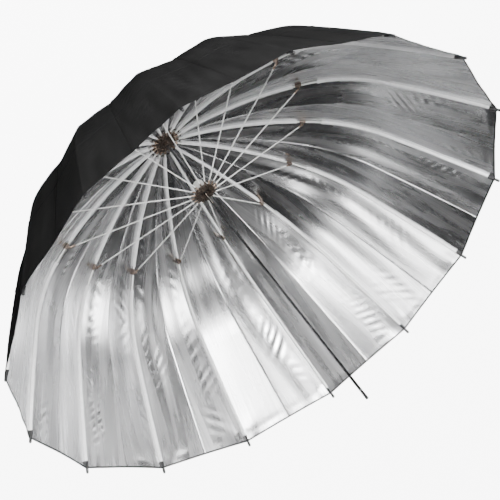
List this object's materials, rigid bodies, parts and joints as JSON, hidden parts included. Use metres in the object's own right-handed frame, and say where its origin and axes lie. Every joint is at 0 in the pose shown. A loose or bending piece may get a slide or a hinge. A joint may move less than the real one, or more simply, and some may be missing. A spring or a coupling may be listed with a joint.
{
  "type": "umbrella reflector",
  "caption": "Deep parabolic studio umbrella: black fabric with a silver inner face on curved folding ribs, stretchers, a sliding runner and a long shaft.",
  "frame": {"origin": "on the shaft's axis at the outer tip of the crown cap", "axes": "+Z along the shaft from the crown to the free end, the way the reflector faces; rib 1 lies over +X"},
  "size_m": [1.362, 1.362, 0.94],
  "materials": {
    "rib_rod": "white glass-fibre rod with brass ends",
    "stretcher_rod": "gloss white enamel",
    "canopy_fabric": "metallised silver inside, matt black outside",
    "hub_brass": "bronzed brass",
    "pivot_wire": "bright wire",
    "black_plastic": "matt moulded",
    "end_cap_plastic": "satin moulded",
    "white_plastic": "moulded white",
    "shaft_steel": "polished tube",
    "catch_steel": "bright spring steel"
  },
  "bodies": {
    "root": {"canopy": "canopy_fabric", "crown_hub": "hub_brass", "crown_wire": "pivot_wire", "crown_cap": "black_plastic", "crown_pin": "pivot_wire", "shaft": "shaft_steel", "shaft_end_cap": "end_cap_plastic", "catch_pin": "pivot_wire"},
    "rib_inner_01": {"rib_inner_01": "rib_rod"},
    "rib_outer_01": {"rib_outer_01": "rib_rod"},
    "stretcher_01": {"stretcher_01": "stretcher_rod"},
    "rib_inner_02": {"rib_inner_02": "rib_rod"},
    "rib_outer_02": {"rib_outer_02": "rib_rod"},
    "stretcher_02": {"stretcher_02": "stretcher_rod"},
    "rib_inner_03": {"rib_inner_03": "rib_rod"},
    "rib_outer_03": {"rib_outer_03": "rib_rod"},
    "stretcher_03": {"stretcher_03": "stretcher_rod"},
    "rib_inner_04": {"rib_inner_04": "rib_rod"},
    "rib_outer_04": {"rib_outer_04": "rib_rod"},
    "stretcher_04": {"stretcher_04": "stretcher_rod"},
    "rib_inner_05": {"rib_inner_05": "rib_rod"},
    "rib_outer_05": {"rib_outer_05": "rib_rod"},
    "stretcher_05": {"stretcher_05": "stretcher_rod"},
    "rib_inner_06": {"rib_inner_06": "rib_rod"},
    "rib_outer_06": {"rib_outer_06": "rib_rod"},
    "stretcher_06": {"stretcher_06": "stretcher_rod"},
    "rib_inner_07": {"rib_inner_07": "rib_rod"},
    "rib_outer_07": {"rib_outer_07": "rib_rod"},
    "stretcher_07": {"stretcher_07": "stretcher_rod"},
    "rib_inner_08": {"rib_inner_08": "rib_rod"},
    "rib_outer_08": {"rib_outer_08": "rib_rod"},
    "stretcher_08": {"stretcher_08": "stretcher_rod"},
    "rib_inner_09": {"rib_inner_09": "rib_rod"},
    "rib_outer_09": {"rib_outer_09": "rib_rod"},
    "stretcher_09": {"stretcher_09": "stretcher_rod"},
    "rib_inner_10": {"rib_inner_10": "rib_rod"},
    "rib_outer_10": {"rib_outer_10": "rib_rod"},
    "stretcher_10": {"stretcher_10": "stretcher_rod"},
    "rib_inner_11": {"rib_inner_11": "rib_rod"},
    "rib_outer_11": {"rib_outer_11": "rib_rod"},
    "stretcher_11": {"stretcher_11": "stretcher_rod"},
    "rib_inner_12": {"rib_inner_12": "rib_rod"},
    "rib_outer_12": {"rib_outer_12": "rib_rod"},
    "stretcher_12": {"stretcher_12": "stretcher_rod"},
    "rib_inner_13": {"rib_inner_13": "rib_rod"},
    "rib_outer_13": {"rib_outer_13": "rib_rod"},
    "stretcher_13": {"stretcher_13": "stretcher_rod"},
    "rib_inner_14": {"rib_inner_14": "rib_rod"},
    "rib_outer_14": {"rib_outer_14": "rib_rod"},
    "stretcher_14": {"stretcher_14": "stretcher_rod"},
    "rib_inner_15": {"rib_inner_15": "rib_rod"},
    "rib_outer_15": {"rib_outer_15": "rib_rod"},
    "stretcher_15": {"stretcher_15": "stretcher_rod"},
    "rib_inner_16": {"rib_inner_16": "rib_rod"},
    "rib_outer_16": {"rib_outer_16": "rib_rod"},
    "stretcher_16": {"stretcher_16": "stretcher_rod"},
    "runner": {"runner_hub": "hub_brass", "runner_sleeve": "white_plastic", "runner_wire": "pivot_wire"},
    "open_catch": {"open_catch": "catch_steel"}
  },
  "joints": [
    {"name": "rib_fold_01", "type": "hinge", "parent": "root", "child": "rib_inner_01", "pos_m": [0.02, 0, 0.022], "axis": [0, -1, 0], "range_deg": [0, 64.4], "deforming": ["canopy", "open_catch"]},
    {"name": "rib_flex_01", "type": "hinge", "parent": "rib_inner_01", "child": "rib_outer_01", "pos_m": [0.45172, 0, 0.18147], "axis": [0, 1, 0], "range_deg": [0, 26.6]},
    {"name": "stretcher_pivot_01", "type": "hinge", "parent": "rib_inner_01", "child": "stretcher_01", "pos_m": [0.34727, 0, 0.12145], "axis": [0, 1, 0], "range_deg": [0, 128.8]},
    {"name": "rib_fold_02", "type": "hinge", "parent": "root", "child": "rib_inner_02", "pos_m": [0.01848, -0.00765, 0.022], "axis": [-0.3827, -0.9239, 0], "range_deg": [0, 64.4]},
    {"name": "rib_flex_02", "type": "hinge", "parent": "rib_inner_02", "child": "rib_outer_02", "pos_m": [0.41734, -0.17287, 0.18147], "axis": [0.3827, 0.9239, 0], "range_deg": [0, 26.6]},
    {"name": "stretcher_pivot_02", "type": "hinge", "parent": "rib_inner_02", "child": "stretcher_02", "pos_m": [0.32083, -0.13289, 0.12145], "axis": [0.3827, 0.9239, 0], "range_deg": [0, 128.8]},
    {"name": "rib_fold_03", "type": "hinge", "parent": "root", "child": "rib_inner_03", "pos_m": [0.01414, -0.01414, 0.022], "axis": [-0.7071, -0.7071, 0], "range_deg": [0, 64.4]},
    {"name": "rib_flex_03", "type": "hinge", "parent": "rib_inner_03", "child": "rib_outer_03", "pos_m": [0.31942, -0.31942, 0.18147], "axis": [0.7071, 0.7071, 0], "range_deg": [0, 26.6]},
    {"name": "stretcher_pivot_03", "type": "hinge", "parent": "rib_inner_03", "child": "stretcher_03", "pos_m": [0.24555, -0.24555, 0.12145], "axis": [0.7071, 0.7071, 0], "range_deg": [0, 128.8]},
    {"name": "rib_fold_04", "type": "hinge", "parent": "root", "child": "rib_inner_04", "pos_m": [0.00765, -0.01848, 0.022], "axis": [-0.9239, -0.3827, 0], "range_deg": [0, 64.4]},
    {"name": "rib_flex_04", "type": "hinge", "parent": "rib_inner_04", "child": "rib_outer_04", "pos_m": [0.17287, -0.41734, 0.18147], "axis": [0.9239, 0.3827, 0], "range_deg": [0, 26.6]},
    {"name": "stretcher_pivot_04", "type": "hinge", "parent": "rib_inner_04", "child": "stretcher_04", "pos_m": [0.13289, -0.32083, 0.12145], "axis": [0.9239, 0.3827, 0], "range_deg": [0, 128.8]},
    {"name": "rib_fold_05", "type": "hinge", "parent": "root", "child": "rib_inner_05", "pos_m": [0, -0.02, 0.022], "axis": [-1, 0, 0], "range_deg": [0, 64.4]},
    {"name": "rib_flex_05", "type": "hinge", "parent": "rib_inner_05", "child": "rib_outer_05", "pos_m": [0, -0.45172, 0.18147], "axis": [1, 0, 0], "range_deg": [0, 26.6]},
    {"name": "stretcher_pivot_05", "type": "hinge", "parent": "rib_inner_05", "child": "stretcher_05", "pos_m": [0, -0.34727, 0.12145], "axis": [1, 0, 0], "range_deg": [0, 128.8]},
    {"name": "rib_fold_06", "type": "hinge", "parent": "root", "child": "rib_inner_06", "pos_m": [-0.00765, -0.01848, 0.022], "axis": [-0.9239, 0.3827, 0], "range_deg": [0, 64.4]},
    {"name": "rib_flex_06", "type": "hinge", "parent": "rib_inner_06", "child": "rib_outer_06", "pos_m": [-0.17287, -0.41734, 0.18147], "axis": [0.9239, -0.3827, 0], "range_deg": [0, 26.6]},
    {"name": "stretcher_pivot_06", "type": "hinge", "parent": "rib_inner_06", "child": "stretcher_06", "pos_m": [-0.13289, -0.32083, 0.12145], "axis": [0.9239, -0.3827, 0], "range_deg": [0, 128.8]},
    {"name": "rib_fold_07", "type": "hinge", "parent": "root", "child": "rib_inner_07", "pos_m": [-0.01414, -0.01414, 0.022], "axis": [-0.7071, 0.7071, 0], "range_deg": [0, 64.4]},
    {"name": "rib_flex_07", "type": "hinge", "parent": "rib_inner_07", "child": "rib_outer_07", "pos_m": [-0.31942, -0.31942, 0.18147], "axis": [0.7071, -0.7071, 0], "range_deg": [0, 26.6]},
    {"name": "stretcher_pivot_07", "type": "hinge", "parent": "rib_inner_07", "child": "stretcher_07", "pos_m": [-0.24555, -0.24555, 0.12145], "axis": [0.7071, -0.7071, 0], "range_deg": [0, 128.8]},
    {"name": "rib_fold_08", "type": "hinge", "parent": "root", "child": "rib_inner_08", "pos_m": [-0.01848, -0.00765, 0.022], "axis": [-0.3827, 0.9239, 0], "range_deg": [0, 64.4]},
    {"name": "rib_flex_08", "type": "hinge", "parent": "rib_inner_08", "child": "rib_outer_08", "pos_m": [-0.41734, -0.17287, 0.18147], "axis": [0.3827, -0.9239, 0], "range_deg": [0, 26.6]},
    {"name": "stretcher_pivot_08", "type": "hinge", "parent": "rib_inner_08", "child": "stretcher_08", "pos_m": [-0.32083, -0.13289, 0.12145], "axis": [0.3827, -0.9239, 0], "range_deg": [0, 128.8]},
    {"name": "rib_fold_09", "type": "hinge", "parent": "root", "child": "rib_inner_09", "pos_m": [-0.02, 0, 0.022], "axis": [0, 1, 0], "range_deg": [0, 64.4]},
    {"name": "rib_flex_09", "type": "hinge", "parent": "rib_inner_09", "child": "rib_outer_09", "pos_m": [-0.45172, 0, 0.18147], "axis": [0, -1, 0], "range_deg": [0, 26.6]},
    {"name": "stretcher_pivot_09", "type": "hinge", "parent": "rib_inner_09", "child": "stretcher_09", "pos_m": [-0.34727, 0, 0.12145], "axis": [0, -1, 0], "range_deg": [0, 128.8]},
    {"name": "rib_fold_10", "type": "hinge", "parent": "root", "child": "rib_inner_10", "pos_m": [-0.01848, 0.00765, 0.022], "axis": [0.3827, 0.9239, 0], "range_deg": [0, 64.4]},
    {"name": "rib_flex_10", "type": "hinge", "parent": "rib_inner_10", "child": "rib_outer_10", "pos_m": [-0.41734, 0.17287, 0.18147], "axis": [-0.3827, -0.9239, 0], "range_deg": [0, 26.6]},
    {"name": "stretcher_pivot_10", "type": "hinge", "parent": "rib_inner_10", "child": "stretcher_10", "pos_m": [-0.32083, 0.13289, 0.12145], "axis": [-0.3827, -0.9239, 0], "range_deg": [0, 128.8]},
    {"name": "rib_fold_11", "type": "hinge", "parent": "root", "child": "rib_inner_11", "pos_m": [-0.01414, 0.01414, 0.022], "axis": [0.7071, 0.7071, 0], "range_deg": [0, 64.4]},
    {"name": "rib_flex_11", "type": "hinge", "parent": "rib_inner_11", "child": "rib_outer_11", "pos_m": [-0.31942, 0.31942, 0.18147], "axis": [-0.7071, -0.7071, 0], "range_deg": [0, 26.6]},
    {"name": "stretcher_pivot_11", "type": "hinge", "parent": "rib_inner_11", "child": "stretcher_11", "pos_m": [-0.24555, 0.24555, 0.12145], "axis": [-0.7071, -0.7071, 0], "range_deg": [0, 128.8]},
    {"name": "rib_fold_12", "type": "hinge", "parent": "root", "child": "rib_inner_12", "pos_m": [-0.00765, 0.01848, 0.022], "axis": [0.9239, 0.3827, 0], "range_deg": [0, 64.4]},
    {"name": "rib_flex_12", "type": "hinge", "parent": "rib_inner_12", "child": "rib_outer_12", "pos_m": [-0.17287, 0.41734, 0.18147], "axis": [-0.9239, -0.3827, 0], "range_deg": [0, 26.6]},
    {"name": "stretcher_pivot_12", "type": "hinge", "parent": "rib_inner_12", "child": "stretcher_12", "pos_m": [-0.13289, 0.32083, 0.12145], "axis": [-0.9239, -0.3827, 0], "range_deg": [0, 128.8]},
    {"name": "rib_fold_13", "type": "hinge", "parent": "root", "child": "rib_inner_13", "pos_m": [0, 0.02, 0.022], "axis": [1, 0, 0], "range_deg": [0, 64.4]},
    {"name": "rib_flex_13", "type": "hinge", "parent": "rib_inner_13", "child": "rib_outer_13", "pos_m": [0, 0.45172, 0.18147], "axis": [-1, 0, 0], "range_deg": [0, 26.6]},
    {"name": "stretcher_pivot_13", "type": "hinge", "parent": "rib_inner_13", "child": "stretcher_13", "pos_m": [0, 0.34727, 0.12145], "axis": [-1, 0, 0], "range_deg": [0, 128.8]},
    {"name": "rib_fold_14", "type": "hinge", "parent": "root", "child": "rib_inner_14", "pos_m": [0.00765, 0.01848, 0.022], "axis": [0.9239, -0.3827, 0], "range_deg": [0, 64.4]},
    {"name": "rib_flex_14", "type": "hinge", "parent": "rib_inner_14", "child": "rib_outer_14", "pos_m": [0.17287, 0.41734, 0.18147], "axis": [-0.9239, 0.3827, 0], "range_deg": [0, 26.6]},
    {"name": "stretcher_pivot_14", "type": "hinge", "parent": "rib_inner_14", "child": "stretcher_14", "pos_m": [0.13289, 0.32083, 0.12145], "axis": [-0.9239, 0.3827, 0], "range_deg": [0, 128.8]},
    {"name": "rib_fold_15", "type": "hinge", "parent": "root", "child": "rib_inner_15", "pos_m": [0.01414, 0.01414, 0.022], "axis": [0.7071, -0.7071, 0], "range_deg": [0, 64.4]},
    {"name": "rib_flex_15", "type": "hinge", "parent": "rib_inner_15", "child": "rib_outer_15", "pos_m": [0.31942, 0.31942, 0.18147], "axis": [-0.7071, 0.7071, 0], "range_deg": [0, 26.6]},
    {"name": "stretcher_pivot_15", "type": "hinge", "parent": "rib_inner_15", "child": "stretcher_15", "pos_m": [0.24555, 0.24555, 0.12145], "axis": [-0.7071, 0.7071, 0], "range_deg": [0, 128.8]},
    {"name": "rib_fold_16", "type": "hinge", "parent": "root", "child": "rib_inner_16", "pos_m": [0.01848, 0.00765, 0.022], "axis": [0.3827, -0.9239, 0], "range_deg": [0, 64.4]},
    {"name": "rib_flex_16", "type": "hinge", "parent": "rib_inner_16", "child": "rib_outer_16", "pos_m": [0.41734, 0.17287, 0.18147], "axis": [-0.3827, 0.9239, 0], "range_deg": [0, 26.6]},
    {"name": "stretcher_pivot_16", "type": "hinge", "parent": "rib_inner_16", "child": "stretcher_16", "pos_m": [0.32083, 0.13289, 0.12145], "axis": [-0.3827, 0.9239, 0], "range_deg": [0, 128.8]},
    {"name": "runner_pivot", "type": "hinge", "parent": "stretcher_01", "child": "runner", "pos_m": [0.02, 0, 0.2209], "axis": [0, -1, 0], "range_deg": [0, 64.4]},
    {"name": "catch_press", "type": "hinge", "parent": "root", "child": "open_catch", "pos_m": [0.00127, 0.00127, 0.2605], "axis": [-0.7071, 0.7071, 0], "range_deg": [0, 4.2], "stiffness_Nm_per_rad": 0.1}
  ],
  "couplings": [
    {"joint": "rib_flex_01", "follows": "rib_fold_01", "ratio": 0.41304},
    {"joint": "stretcher_pivot_01", "follows": "rib_fold_01", "ratio": 2},
    {"joint": "rib_fold_02", "follows": "rib_fold_01", "ratio": 1},
    {"joint": "rib_flex_02", "follows": "rib_fold_01", "ratio": 0.41304},
    {"joint": "stretcher_pivot_02", "follows": "rib_fold_01", "ratio": 2},
    {"joint": "rib_fold_03", "follows": "rib_fold_01", "ratio": 1},
    {"joint": "rib_flex_03", "follows": "rib_fold_01", "ratio": 0.41304},
    {"joint": "stretcher_pivot_03", "follows": "rib_fold_01", "ratio": 2},
    {"joint": "rib_fold_04", "follows": "rib_fold_01", "ratio": 1},
    {"joint": "rib_flex_04", "follows": "rib_fold_01", "ratio": 0.41304},
    {"joint": "stretcher_pivot_04", "follows": "rib_fold_01", "ratio": 2},
    {"joint": "rib_fold_05", "follows": "rib_fold_01", "ratio": 1},
    {"joint": "rib_flex_05", "follows": "rib_fold_01", "ratio": 0.41304},
    {"joint": "stretcher_pivot_05", "follows": "rib_fold_01", "ratio": 2},
    {"joint": "rib_fold_06", "follows": "rib_fold_01", "ratio": 1},
    {"joint": "rib_flex_06", "follows": "rib_fold_01", "ratio": 0.41304},
    {"joint": "stretcher_pivot_06", "follows": "rib_fold_01", "ratio": 2},
    {"joint": "rib_fold_07", "follows": "rib_fold_01", "ratio": 1},
    {"joint": "rib_flex_07", "follows": "rib_fold_01", "ratio": 0.41304},
    {"joint": "stretcher_pivot_07", "follows": "rib_fold_01", "ratio": 2},
    {"joint": "rib_fold_08", "follows": "rib_fold_01", "ratio": 1},
    {"joint": "rib_flex_08", "follows": "rib_fold_01", "ratio": 0.41304},
    {"joint": "stretcher_pivot_08", "follows": "rib_fold_01", "ratio": 2},
    {"joint": "rib_fold_09", "follows": "rib_fold_01", "ratio": 1},
    {"joint": "rib_flex_09", "follows": "rib_fold_01", "ratio": 0.41304},
    {"joint": "stretcher_pivot_09", "follows": "rib_fold_01", "ratio": 2},
    {"joint": "rib_fold_10", "follows": "rib_fold_01", "ratio": 1},
    {"joint": "rib_flex_10", "follows": "rib_fold_01", "ratio": 0.41304},
    {"joint": "stretcher_pivot_10", "follows": "rib_fold_01", "ratio": 2},
    {"joint": "rib_fold_11", "follows": "rib_fold_01", "ratio": 1},
    {"joint": "rib_flex_11", "follows": "rib_fold_01", "ratio": 0.41304},
    {"joint": "stretcher_pivot_11", "follows": "rib_fold_01", "ratio": 2},
    {"joint": "rib_fold_12", "follows": "rib_fold_01", "ratio": 1},
    {"joint": "rib_flex_12", "follows": "rib_fold_01", "ratio": 0.41304},
    {"joint": "stretcher_pivot_12", "follows": "rib_fold_01", "ratio": 2},
    {"joint": "rib_fold_13", "follows": "rib_fold_01", "ratio": 1},
    {"joint": "rib_flex_13", "follows": "rib_fold_01", "ratio": 0.41304},
    {"joint": "stretcher_pivot_13", "follows": "rib_fold_01", "ratio": 2},
    {"joint": "rib_fold_14", "follows": "rib_fold_01", "ratio": 1},
    {"joint": "rib_flex_14", "follows": "rib_fold_01", "ratio": 0.41304},
    {"joint": "stretcher_pivot_14", "follows": "rib_fold_01", "ratio": 2},
    {"joint": "rib_fold_15", "follows": "rib_fold_01", "ratio": 1},
    {"joint": "rib_flex_15", "follows": "rib_fold_01", "ratio": 0.41304},
    {"joint": "stretcher_pivot_15", "follows": "rib_fold_01", "ratio": 2},
    {"joint": "rib_fold_16", "follows": "rib_fold_01", "ratio": 1},
    {"joint": "rib_flex_16", "follows": "rib_fold_01", "ratio": 0.41304},
    {"joint": "stretcher_pivot_16", "follows": "rib_fold_01", "ratio": 2},
    {"joint": "runner_pivot", "follows": "rib_fold_01", "ratio": 1}
  ]
}
